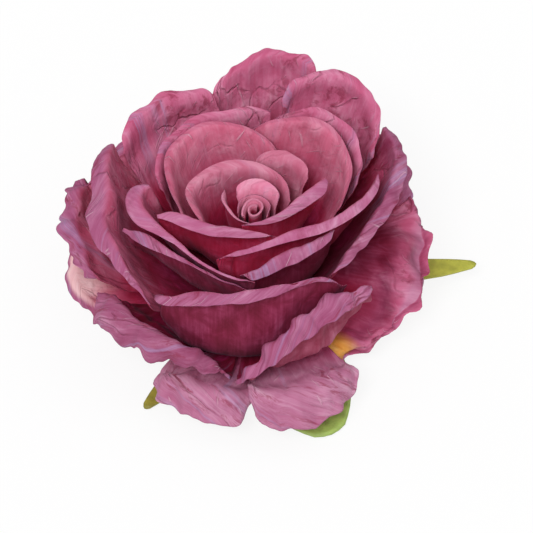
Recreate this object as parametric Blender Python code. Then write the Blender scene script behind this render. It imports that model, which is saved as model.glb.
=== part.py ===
"""Crepe paper rose head: a wrapped bud, rings of curled petals, a star of sepals and a turned base.

All lengths below are in millimetres and are turned into metres when a mesh is made.
The flower stands on the flat underside of its base at z = 0, with its axis along +Z.
Azimuth 0 is +X and the side nearest the viewer is at -90 degrees.
"""

import math

import bpy
import numpy as np

MM = 0.001

CLEARANCE = 0.3  # glue line between one piece and the next

# Turned base that holds the flower.
BASE_FOOT = 9.0  # radius of the flat underside
BASE_RADIUS = 12.2
BASE_HEIGHT = 10.0

# Star of sepals that lies on the base.
STAR_PAPER = 0.5
STAR_MIDDLE = 12.0  # radius of its round middle
STAR_WAIST = 1.0  # how far the notches between sepals reach past the round middle

# Bud core that the petals are wrapped and glued round.
CORE_NECK = 2.9  # radius of its straight lower part
CORE_NECK_TOP = 11.0  # height of that part
CORE_BELLY = 3.3  # largest radius
CORE_HEIGHT = 33.1

# Petals.
PAPER = 0.5  # thickness
NECK_TOP = 12.0  # height to which the innermost petals are glued upright
NECK_STEP = 0.95  # how much lower the next ring lets go
FOOT_SHARE = 0.12  # share of a petal's run, foot to rim, that is glued upright
ROLL_SHARE = 0.5  # share of a turned-over lip that is rolled, before its flat flap
STEEPEST_SIDE = 84.0  # steepness, in degrees, that the sides of a petal keep under its rim

STAR_SEAT = BASE_HEIGHT + CLEARANCE + STAR_PAPER / 2  # middle of the star's sheet
PETAL_SEAT = STAR_SEAT + STAR_PAPER / 2 + CLEARANCE  # lower edges of core and petals


def petal(name, ring, foot, rim, lip, fold, lean=76, ruffle=(0.3, 2.0, 0.0), cols=10,
          leave=None, belly=1.0):
    """One cut petal.

    ring: how many layers of paper lie inside it at the neck
    foot: azimuth of the middle of its glued foot and half the angle that the foot wraps
    rim: (azimuth, radius, height over the seat) of its highest line, clockwise end first
    lip: length of the turned-over lip at the clockwise end, the middle and the other end
    fold: angle below level of the turned-over lip
    lean: steepness of the petal just under its rim
    ruffle: depth of the waves along the lip, number of waves and their phase
    cols: faces across the petal
    leave: steepness at the top of the glued foot, or None for the usual one of its ring
    belly: how full the cup of the petal is
    """
    if leave is None:
        leave = 82 - 6.6 * ring
    return dict(name=name, ring=ring, foot=foot, rim=rim, lip=lip, fold=fold, lean=lean,
                ruffle=ruffle, cols=cols, leave=leave, belly=belly)


PETALS = [
    # The wrapped bud and the small spiral of petals round it.
    petal("petal_01_bud_wrap", 0, (80, 112), ((-35, 4.2, 35), (20, 4.2, 35.5), (80, 4.2, 35.5),
          (140, 4.2, 35.5), (190, 4.4, 35)), (1.0, 1.7, 1.0), 8, 86, (0, 1, 0), 8),
    petal("petal_02_spiral", 1, (64, 66), ((2, 7.6, 36.5), (30, 7.4, 37), (60, 6.8, 37),
          (100, 6.2, 37), (150, 6.4, 36.5)), (1.0, 2.2, 2.6), 6, 84, (0, 1, 0), 8),
    petal("petal_03_spiral", 1, (-172, 52), ((150, 9.2, 37.5), (168, 8.2, 37.5), (-172, 6.6, 37.5),
          (-140, 5.6, 36.5), (-85, 5.2, 35.5)), (0.8, 1.4, 0.8), 20, 84, (0, 1, 0), 8),
    petal("petal_04_spiral", 2, (124, 74), ((5, 9.6, 37), (35, 9.6, 38), (65, 9.9, 38),
          (95, 11.0, 38.5), (125, 12.6, 38.5), (155, 15.4, 38.5), (171, 16.2, 38),
          (-157, 14.0, 37)), (1.4, 3.4, 2.8), 18, 84, (0.15, 3, 0), 10),
    petal("petal_05_spiral", 2, (-42, 64), ((-114, 8.0, 38), (-70, 6.9, 39), (-36, 7.6, 39),
          (-8, 10.2, 39.5), (10, 14.6, 40), (19, 20.0, 40)), (0.8, 3.8, 6.0), 36, 86,
          (0.15, 2, 0), 9, leave=50, belly=1.15),
    petal("petal_06_spiral", 3, (66, 40), ((27, 15.6, 39), (38, 15.4, 40), (52, 14.9, 40),
          (68, 14.1, 40), (80, 13.9, 39), (92, 13.6, 36)), (2.4, 3.8, 2.0), 18, 82,
          (0.15, 2, 0), 8),
    petal("petal_07_front", 3, (-125, 54), ((-166.5, 26.6, 41), (-166, 21.8, 41), (-155, 16.8, 40.3),
          (-136, 12.9, 40), (-108, 10.6, 40), (-80, 10.6, 39.5), (-65, 12.6, 39)),
          (4.8, 4.8, 1.6), 36, 84, (0.2, 2, 0), 9, leave=46, belly=1.15),
    # The cup of middle petals.
    petal("petal_08_cup_back", 4, (129, 44), ((63, 17.6, 31), (70, 18.7, 35), (80, 19.8, 39),
          (100, 21.8, 43), (125, 25.0, 44), (150, 25.6, 43), (172, 21.8, 41),
          (-168, 19.4, 38.5)), (1.0, 2.0, 1.4), 30, 80, (0.2, 3, 0.5), 10,
          leave=62),
    petal("petal_09_front", 5, (-49, 47), ((-118, 19.6, 38), (-105, 16.8, 39.5), (-88, 14.9, 40.5),
          (-62, 14.4, 41), (-40, 16.4, 41), (-19, 21.7, 41), (-4, 27.2, 40.5), (8, 31.8, 39.5),
          (16, 34.6, 38)), (1.8, 4.4, 3.0), 38, 82, (0.3, 3, 0.2), 10, leave=42, belly=1.1),
    petal("petal_10_cup_back", 4, (45.5, 24), ((1, 22.8, 35), (10, 24.8, 39), (21, 26.6, 42),
          (40, 27.8, 43.5), (58, 27.0, 43.5), (76, 24.0, 42.5), (92, 22.9, 40)),
          (1.0, 2.6, 1.0), 22, 80, (0.2, 3, 0.1), 10, leave=45),
    petal("petal_11_front", 6, (-55, 29), ((-96, 21.0, 35.3), (-82, 19.2, 36.8), (-68, 17.9, 37.3),
          (-48, 18.7, 37.8), (-33, 20.9, 37.9), (-22, 22.9, 37.9)), (3.6, 5.6, 3.0), 42, 84,
          (0.25, 2, 0.3), 8, leave=30, belly=1.2),
    petal("petal_12_front", 5, (-150, 42), ((173, 27.4, 39.6), (179, 29.4, 40),
          (-172, 29.0, 39.8), (-160, 25.8, 39.2), (-145, 23.8, 38.5), (-128, 23.2, 38),
          (-110, 22.9, 37), (-96, 23.0, 35.5)), (9.0, 1.7, 1.2), 40, 80, (0.3, 2, 0.2), 9,
          leave=36),
    petal("petal_13_cup_outer", 6, (122, 44), ((81, 28.8, 40.5), (96, 28.4, 41.5), (122, 28.6, 41.5),
          (140, 28.8, 41), (156, 27.6, 40), (168, 25.2, 37.5)), (1.2, 2.6, 1.6), 22, 78,
          (0.3, 3, 0.4), 9),
    petal("petal_14_cup_outer", 6, (48, 25), ((14, 28.0, 37), (24, 30.6, 41), (40, 32.8, 42),
          (56, 32.4, 42.5), (69, 28.8, 42), (79, 25.6, 40.5)), (1.2, 2.2, 1.2), 30, 78,
          (0.3, 3, 0.7), 9),
    petal("petal_15_front", 6, (-140, 34), ((-169.5, 35.4, 35.6), (-165, 32.0, 36.6),
          (-153, 27.9, 36.8), (-140, 25.6, 36.9), (-126, 24.0, 36.1), (-112, 23.7, 35.2),
          (-100, 23.8, 34.1)), (5.4, 2.2, 0.3), 42, 84, (0.3, 2, 0.6), 10, leave=36,
          belly=1.2),
    petal("petal_16_front", 7, (-93, 37), ((-136.5, 33.0, 27), (-133.5, 35.8, 31), (-125, 34.2, 34.5),
          (-112, 30.2, 35.5), (-96, 27.8, 36), (-80, 26.8, 36.3), (-62, 27.2, 36.3),
          (-52, 28.8, 35), (-45, 31.2, 32.5), (-40, 32.4, 29.5)), (4.2, 5.0, 0.4), 46, 104,
          (0.3, 3, 0.2), 12, leave=10, belly=2.2),
    # The wide outer petals with turned-over lips.
    petal("petal_17_outer_left", 8, (-175, 27), ((150, 44.0, 35), (158, 42.2, 38),
          (169, 39.4, 39.5), (-177, 38.4, 39.5), (-166, 39.4, 38.5), (-156, 38.4, 36),
          (-146, 38.0, 33), (-135, 38.8, 30)), (5.0, 7.6, 0.8), 38, 72, (0.6, 3, 0.1), 12),
    petal("petal_18_outer_right", 8, (-4, 30), ((-43, 28.2, 33), (-30, 28.6, 35), (-16, 30.2, 37),
          (-4, 33.0, 38), (6, 36.4, 39.5), (17, 39.2, 40), (27, 41.8, 39), (37, 43.8, 36.5)),
          (3.2, 4.8, 4.4), 42, 74, (0.5, 3, 0.6), 12),
    petal("petal_19_outer_back", 8, (127, 22), ((107, 34.0, 37), (112, 37.6, 40.5),
          (124, 40.0, 41.5), (136, 41.8, 40.3), (145, 41.6, 38), (151, 40.4, 34)),
          (1.6, 3.4, 2.0), 30, 76, (0.6, 3, 0.4), 10),
    petal("petal_20_outer_back", 8, (60, 18), ((31, 36.8, 33), (35, 40.2, 38), (43, 43.6, 41),
          (54, 45.6, 42), (64, 44.4, 42.5), (72, 40.0, 41.5), (77, 35.4, 37)),
          (1.6, 3.4, 2.0), 30, 76, (0.6, 3, 0.9), 10),
    petal("petal_21_outer_back", 9, (90, 28), ((67, 42.2, 37), (71, 46.0, 41.5), (79, 47.0, 43),
          (88, 45.6, 42.5), (98, 41.8, 41), (108, 38.4, 37)), (2.0, 3.2, 2.0), 30, 76,
          (0.6, 3, 0.3), 10),
    petal("petal_22_low_left", 9, (180, 23), ((158, 47.4, 25), (165, 48.0, 26.5), (173, 47.6, 26.5),
          (-179, 46.4, 25.5), (-171, 45.4, 24), (-163, 44.0, 21)), (4.5, 6.8, 5.0), 38, 62,
          (1.3, 3, 0.1), 12),
    petal("petal_23_low_right", 10, (-14, 32), ((-50, 33.0, -2.6), (-40, 35.0, -2.6), (-29, 37.4, -2),
          (-21, 40.5, 0), (-15, 43.5, 5.5), (-9, 45.6, 13), (-2, 46.0, 18.5), (5, 45.5, 22),
          (13, 43.0, 26.5)), (0.6, 2.0, 2.0), 10, 50, (1.0, 4, 0.2), 12, leave=4),
    petal("petal_24_low_front", 9, (-126, 23), ((-157, 45.0, 22.5), (-150, 42.0, 23.5),
          (-140, 40.4, 22.5), (-128, 39.2, 21), (-117, 37.8, 18.5), (-107, 37.2, 15),
          (-99, 37.4, 9.5)), (16.0, 10.5, 2.5), 66, 76, (1.0, 4, 0.4), 12, leave=14, belly=1.15),
    petal("petal_25_low_front", 9, (-66, 29), ((-97.5, 38.6, 9), (-89, 36.8, 17),
          (-78, 34.4, 23.5), (-66, 32.0, 27), (-52, 31.6, 28), (-40, 33.4, 28),
          (-31, 36.4, 26.5)), (5.0, 8.8, 7.5), 46, 104, (0.5, 4, 0.2), 12, leave=8, belly=2.0),
    # The lowest petals, folded down over the base.
    petal("petal_26_skirt_front", 10, (-112, 19), ((-131, 39.4, 0), (-122, 38.8, 4),
          (-112, 37.8, 5.6), (-101, 37.6, 5.2), (-90.5, 37.6, 4.2)), (10.0, 14.0, 15.0), 62, 50,
          (1.2, 3, 0.3), 12, leave=0),
    petal("petal_27_skirt_front", 10, (-71, 17), ((-92.5, 38.6, 7.6), (-80, 38.6, 7.8),
          (-70, 38.8, 7.7), (-59, 39.4, 6.7), (-48, 39.0, 2.5)), (15.0, 17.0, 9.5), 62, 50,
          (1.2, 3, 0.7), 12, leave=4),
    petal("petal_28_skirt_left", 10, (-170, 23), ((-192, 45.0, 12), (-183, 48.0, 11),
          (-174, 48.5, 8.5), (-165, 44.0, 5), (-154, 38.5, 3)), (3.0, 4.0, 3.0), 40, 30,
          (0.8, 3, 0.2), 10),
    petal("petal_29_skirt_back", 10, (141, 22), ((117, 39.0, 9), (126, 43.0, 16), (138, 46.0, 19),
          (151, 46.0, 18), (164, 41.0, 12)), (4.0, 6.0, 4.0), 40, 45, (1.0, 3, 0.5), 10),
    petal("petal_30_skirt_back", 10, (89, 21), ((67, 42.0, 6), (76, 45.5, 13), (89, 47.0, 16),
          (102, 45.5, 13), (111, 42.0, 6)), (4.0, 6.0, 4.0), 40, 45, (1.0, 3, 0.1), 10),
    petal("petal_31_skirt_back", 10, (42, 18), ((18, 41.0, 13), (28, 45.0, 17), (40, 47.0, 19),
          (52, 45.0, 17), (61, 40.0, 10)), (4.0, 6.0, 4.0), 40, 45, (1.0, 3, 0.8), 10),
]

# Sepals of the star: azimuth, tip radius, droop of the tip and share of the full width.
SEPALS = (
    (7.5, 63.0, 2.0, 0.42),
    (79, 54.0, 6.5, 0.8),
    (151, 54.0, 6.5, 0.8),
    (229.5, 46.5, 8.9, 0.5),
    (296, 48.5, 9.1, 1.9),
)
# Half outline of a sepal: turn from its midline in degrees and share of its length.
SEPAL_OUTLINE = ((0, 1.0), (7, 0.82), (14, 0.5), (21, 0.12))

PETAL_COLOUR = (0.52, 0.13, 0.24)
BUD_COLOUR = (0.45, 0.09, 0.18)
SEPAL_COLOUR = (0.36, 0.45, 0.11)
BASE_COLOUR = (0.22, 0.33, 0.10)


def rim_line(points, u):
    """Smooth curve through the rim points, at u from -1 to 1 by length along it."""
    ends = np.vstack([2 * points[0] - points[1], points, 2 * points[-1] - points[-2]])
    t = np.linspace(0, 1, 25)[:-1, None]
    run = []
    for a, b, c, d in zip(ends, ends[1:], ends[2:], ends[3:]):
        run.append(0.5 * (2 * b + (c - a) * t + (2 * a - 5 * b + 4 * c - d) * t ** 2
                          + (3 * b - a - 3 * c + d) * t ** 3))
    run = np.vstack(run + [points[-1:]])
    steps = np.linalg.norm(np.diff(run[:, :2], axis=0), axis=1)
    length = np.concatenate([[0], np.cumsum(steps)])
    at = (np.clip(u, -1, 1) + 1) / 2 * length[-1]
    return np.stack([np.interp(at, length, run[:, k]) for k in range(3)], axis=1)


def petal_sheet(p, u, s):
    """Middle surface of a petal as an array [s, u, xyz], with the middle of its foot at +X.

    s runs from 0 at the foot through 1 at the rim to 2 at the edge of the turned lip.
    """
    turns = np.unwrap(np.radians([point[0] - p["foot"][0] for point in p["rim"]]))
    if turns.mean() > math.pi:
        turns -= 2 * math.pi
    if turns.mean() < -math.pi:
        turns += 2 * math.pi
    points = np.array([(radius * math.cos(turn), radius * math.sin(turn), height)
                       for (_, radius, height), turn in zip(p["rim"], turns)])
    rim = rim_line(points, u)

    radius = CORE_NECK + CLEARANCE + PAPER / 2 + (PAPER + CLEARANCE) * p["ring"]
    neck_top = NECK_TOP - NECK_STEP * p["ring"]
    wrap = np.radians(u * p["foot"][1])
    foot = np.stack([np.cos(wrap), np.sin(wrap)], axis=1) * radius
    out = rim[:, :2] - foot
    run = np.linalg.norm(out, axis=1)
    out = out / run[:, None]

    # The lip turns over square to the rim.
    along = rim_line(points, u + 0.02) - rim_line(points, u - 0.02)
    away = np.stack([along[:, 1], -along[:, 0]], axis=1)
    away = away / np.linalg.norm(away, axis=1)[:, None]
    lip = np.interp(u, (-1, 0, 1), p["lip"]) * (1 - 0.55 * np.abs(u) ** 5)
    depth, waves, phase = p["ruffle"]
    wave = depth * np.sin(np.pi * waves * u + 2 * np.pi * phase)

    leave = math.radians(p["leave"])
    # A petal that bulges out under its rim does so in the middle, and its sides stand up.
    lean = np.radians(p["lean"] - max(p["lean"] - STEEPEST_SIDE, 0) * u ** 4)
    fold = math.radians(p["fold"])
    rise = rim[:, 2] - neck_top
    size = np.hypot(run, rise) * (1 + (p["belly"] - 1) * (1 - u ** 2))
    low = 0.42 * size
    high = np.minimum(0.38 * size, 0.85 * rise / np.sin(lean))
    rows = []
    for step in s:
        if step <= FOOT_SHARE:
            xy = foot
            z = np.full(len(u), neck_top * step / FOOT_SHARE)
        else:
            t = min((step - FOOT_SHARE) / (1 - FOOT_SHARE), 1.0)
            a, b, c = 3 * (1 - t) ** 2 * t, 3 * (1 - t) * t ** 2, t ** 3
            x = a * low * math.cos(leave) + b * (run - high * np.cos(lean)) + c * run
            z = a * low * math.sin(leave) + b * (rise - high * np.sin(lean)) + c * rise
            xy = foot + out * x[:, None]
            z = neck_top + z
        if step > 1:
            # A soft roll over the first part of the lip, then a straight flap.
            way = (step - 1) * lip
            roll = ROLL_SHARE * lip
            angle = lean - (lean + fold) * np.minimum(way / roll, 1)
            first = np.minimum(way, roll)
            flap = np.maximum(way - roll, 0)
            over = first * (np.sin(lean) - np.sin(angle)) / (lean - angle)
            rise_over = first * (np.cos(angle) - np.cos(lean)) / (lean - angle)
            over = over + flap * math.cos(fold)
            xy = xy + away * over[:, None]
            z = z + rise_over - flap * math.sin(fold)
        sway = max((step - 0.6) / 1.4, 0) ** 1.2
        xy = xy + away * (0.5 * wave * sway)[:, None]
        z = z + wave * sway * (0.8 if step > 1 else 0.3)
        rows.append(np.column_stack([xy, z]))
    return np.array(rows)


def petal_steps(p):
    """Places of a petal's rows of points, closer together where it bends."""
    if p["ring"] < 4:
        return (0, FOOT_SHARE, 0.42, 0.74, 1.0, 1.5, 2.0)
    if max(p["lip"]) > 3:
        return (0, FOOT_SHARE, 0.36, 0.62, 0.84, 1.0, 1.3, 2.0)
    return (0, FOOT_SHARE, 0.36, 0.62, 0.84, 1.0, 1.5, 2.0)


def sepal_sheet():
    """Middle surface of the star: rows of points from its round middle out to its outline."""
    columns = []
    half = list(SEPAL_OUTLINE)
    for number, (azimuth, tip, droop, width) in enumerate(SEPALS):
        before = SEPALS[number - 1][0] - (360 if number == 0 else 0)
        columns.append(((before + azimuth) / 2, STAR_MIDDLE + STAR_WAIST, droop, tip))
        for turn, share in [(-t, r) for t, r in reversed(half[1:])] + half:
            edge = STAR_MIDDLE + STAR_WAIST
            edge += (tip - edge) * share
            columns.append((azimuth + turn * width, edge, droop, tip))
    sheet = []
    for share in (0.0, 0.35, 0.68, 1.0):
        row = []
        for azimuth, edge, droop, tip in columns:
            radius = STAR_MIDDLE + (edge - STAR_MIDDLE) * share
            part = min(1, 1.25 * (radius - STAR_MIDDLE) / (tip - STAR_MIDDLE))
            turn = math.radians(azimuth)
            row.append((radius * math.cos(turn), radius * math.sin(turn),
                        -droop * math.sin(math.pi / 2 * part) ** 1.3))
        sheet.append(row)
    return np.array(sheet)


def material(name, colour, roughness):
    made = bpy.data.materials.new(name)
    made.use_nodes = True
    shader = made.node_tree.nodes["Principled BSDF"]
    shader.inputs["Base Color"].default_value = (*colour, 1.0)
    shader.inputs["Roughness"].default_value = roughness
    shader.inputs["Metallic"].default_value = 0.0
    return made


def add_object(name, points, faces, skin, height, turn=0.0, parent=None):
    mesh = bpy.data.meshes.new(name)
    mesh.from_pydata((np.asarray(points) * MM).tolist(), [], faces)
    mesh.materials.append(skin)
    obj = bpy.data.objects.new(name, mesh)
    obj.location.z = height * MM
    obj.rotation_euler.z = math.radians(turn)
    obj.parent = parent
    bpy.context.scene.collection.objects.link(obj)
    return obj


def give_thickness(obj, thickness):
    solid = obj.modifiers.new("paper", "SOLIDIFY")
    solid.thickness = thickness * MM
    solid.offset = 0
    solid.use_rim = True


def add_petal(p, skin, parent):
    u = np.linspace(-1, 1, p["cols"] + 1)
    sheet = petal_sheet(p, u, petal_steps(p))
    rows, cols = sheet.shape[:2]
    faces = [(r * cols + c, r * cols + c + 1, (r + 1) * cols + c + 1, (r + 1) * cols + c)
             for r in range(rows - 1) for c in range(cols - 1)]
    obj = add_object(p["name"], sheet.reshape(-1, 3), faces, skin, PETAL_SEAT, p["foot"][0], parent)
    give_thickness(obj, PAPER)


def add_star(skin, parent):
    sheet = sepal_sheet()
    rows, count = sheet.shape[:2]
    middle = rows * count
    faces = []
    for k in range(count):
        n = (k + 1) % count
        faces.append((middle, k, n))
        for r in range(0, middle - count, count):
            faces.append((r + k, r + count + k, r + count + n, r + n))
    points = np.vstack([sheet.reshape(-1, 3), (0, 0, 0)])
    obj = add_object("sepal_star", points, faces, skin, STAR_SEAT, parent=parent)
    give_thickness(obj, STAR_PAPER)


def add_turned(name, profile, steps, skin, height, parent):
    """A solid of revolution whose (radius, height) profile starts and ends on the axis."""
    turns = np.linspace(0, 2 * math.pi, steps, endpoint=False)
    points = [(0, 0, profile[0][1])]
    for radius, level in profile[1:-1]:
        points += [(radius * math.cos(t), radius * math.sin(t), level) for t in turns]
    points.append((0, 0, profile[-1][1]))
    top = len(points) - 1
    faces = []
    for k in range(steps):
        n = (k + 1) % steps
        faces.append((0, 1 + n, 1 + k))
        for a in range(1, top - steps, steps):
            faces.append((a + k, a + n, a + steps + n, a + steps + k))
        faces.append((top - steps + k, top - steps + n, top))
    return add_object(name, points, faces, skin, height, parent=parent)


def main():
    for obj in list(bpy.data.objects):
        bpy.data.objects.remove(obj)
    rose = bpy.data.objects.new("rose", None)
    bpy.context.scene.collection.objects.link(rose)

    base = ((0, 0), (BASE_FOOT, 0), (0.92 * BASE_RADIUS, 0.2 * BASE_HEIGHT),
            (BASE_RADIUS, 0.55 * BASE_HEIGHT), (0.98 * BASE_RADIUS, 0.86 * BASE_HEIGHT),
            (0.92 * BASE_RADIUS, BASE_HEIGHT), (0, BASE_HEIGHT))
    add_turned("base_cup", base, 32, material("base green", BASE_COLOUR, 0.7), 0, rose)
    add_star(material("sepal green", SEPAL_COLOUR, 0.65), rose)

    above = CORE_HEIGHT - CORE_NECK_TOP
    core = ((0, 0), (CORE_NECK, 0), (CORE_NECK, CORE_NECK_TOP),
            (0.97 * CORE_BELLY, CORE_NECK_TOP + 0.36 * above),
            (CORE_BELLY, CORE_NECK_TOP + 0.63 * above), (0.8 * CORE_BELLY, CORE_NECK_TOP + 0.83 * above),
            (0.42 * CORE_BELLY, CORE_NECK_TOP + 0.96 * above), (0, CORE_HEIGHT))
    add_turned("bud_core", core, 16, material("bud paper", BUD_COLOUR, 0.8), PETAL_SEAT, rose)

    crepe = material("mauve crepe", PETAL_COLOUR, 0.75)
    for p in PETALS:
        add_petal(p, crepe, rose)


if __name__ == "__main__":
    main()
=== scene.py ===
"""Looks of a crepe paper rose head: creased, frilled petals, a rolled heart, sepals and a wrapped base.

Lengths are in millimetres and are turned into metres when a mesh is made.
Azimuth 0 is +X and the side nearest the camera is at -90 degrees.
"""

import math

import bpy
import numpy as np
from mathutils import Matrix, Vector


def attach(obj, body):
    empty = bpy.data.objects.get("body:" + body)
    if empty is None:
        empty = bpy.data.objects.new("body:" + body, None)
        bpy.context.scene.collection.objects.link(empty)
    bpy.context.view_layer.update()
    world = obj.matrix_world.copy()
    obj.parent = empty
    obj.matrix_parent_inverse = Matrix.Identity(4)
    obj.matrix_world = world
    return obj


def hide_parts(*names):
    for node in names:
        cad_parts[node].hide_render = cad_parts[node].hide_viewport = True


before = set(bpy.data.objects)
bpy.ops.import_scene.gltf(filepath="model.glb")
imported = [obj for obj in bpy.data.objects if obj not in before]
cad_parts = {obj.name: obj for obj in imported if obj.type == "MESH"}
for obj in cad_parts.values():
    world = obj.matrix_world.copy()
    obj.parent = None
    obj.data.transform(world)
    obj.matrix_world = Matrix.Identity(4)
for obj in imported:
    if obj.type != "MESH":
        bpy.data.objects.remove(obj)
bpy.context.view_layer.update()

MM = 0.001

CLEARANCE = 0.3  # glue line between one piece and the next

# Turned base that holds the flower.
BASE_FOOT = 9.0  # radius of the flat underside
BASE_RADIUS = 12.2
BASE_HEIGHT = 10.0

# Star of sepals that lies on the base.
STAR_PAPER = 0.5
STAR_MIDDLE = 12.0  # radius of its round middle
STAR_WAIST = 1.0  # how far the notches between sepals reach past the round middle

# Bud core that the petals are wrapped and glued round.
CORE_NECK = 2.9  # radius of its straight lower part
CORE_HEIGHT = 33.1

# Petals.
PAPER = 0.5  # thickness
NECK_TOP = 12.0  # height to which the innermost petals are glued upright
NECK_STEP = 0.95  # how much lower the next ring lets go
FOOT_SHARE = 0.12  # share of a petal's run, foot to rim, that is glued upright
ROLL_SHARE = 0.5  # share of a turned-over lip that is rolled, before its flat flap
STEEPEST_SIDE = 84.0  # steepness, in degrees, that the sides of a petal keep under its rim

STAR_SEAT = BASE_HEIGHT + CLEARANCE + STAR_PAPER / 2  # middle of the star's sheet
PETAL_SEAT = STAR_SEAT + STAR_PAPER / 2 + CLEARANCE  # lower edges of core and petals


def petal(name, ring, foot, rim, lip, fold, lean=76, ruffle=(0.3, 2.0, 0.0), leave=None, belly=1.0):
    """One cut petal.

    ring: how many layers of paper lie inside it at the neck
    foot: azimuth of the middle of its glued foot and half the angle that the foot wraps
    rim: (azimuth, radius, height over the seat) of its highest line, clockwise end first
    lip: length of the turned-over lip at the clockwise end, the middle and the other end
    fold: angle below level of the turned-over lip
    lean: steepness of the petal just under its rim
    ruffle: depth of the waves along the lip, number of waves and their phase
    leave: steepness at the top of the glued foot, or None for the usual one of its ring
    belly: how full the cup of the petal is
    """
    if leave is None:
        leave = 82 - 6.6 * ring
    return dict(name=name, ring=ring, foot=foot, rim=rim, lip=lip, fold=fold, lean=lean,
                ruffle=ruffle, leave=leave, belly=belly)


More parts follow.
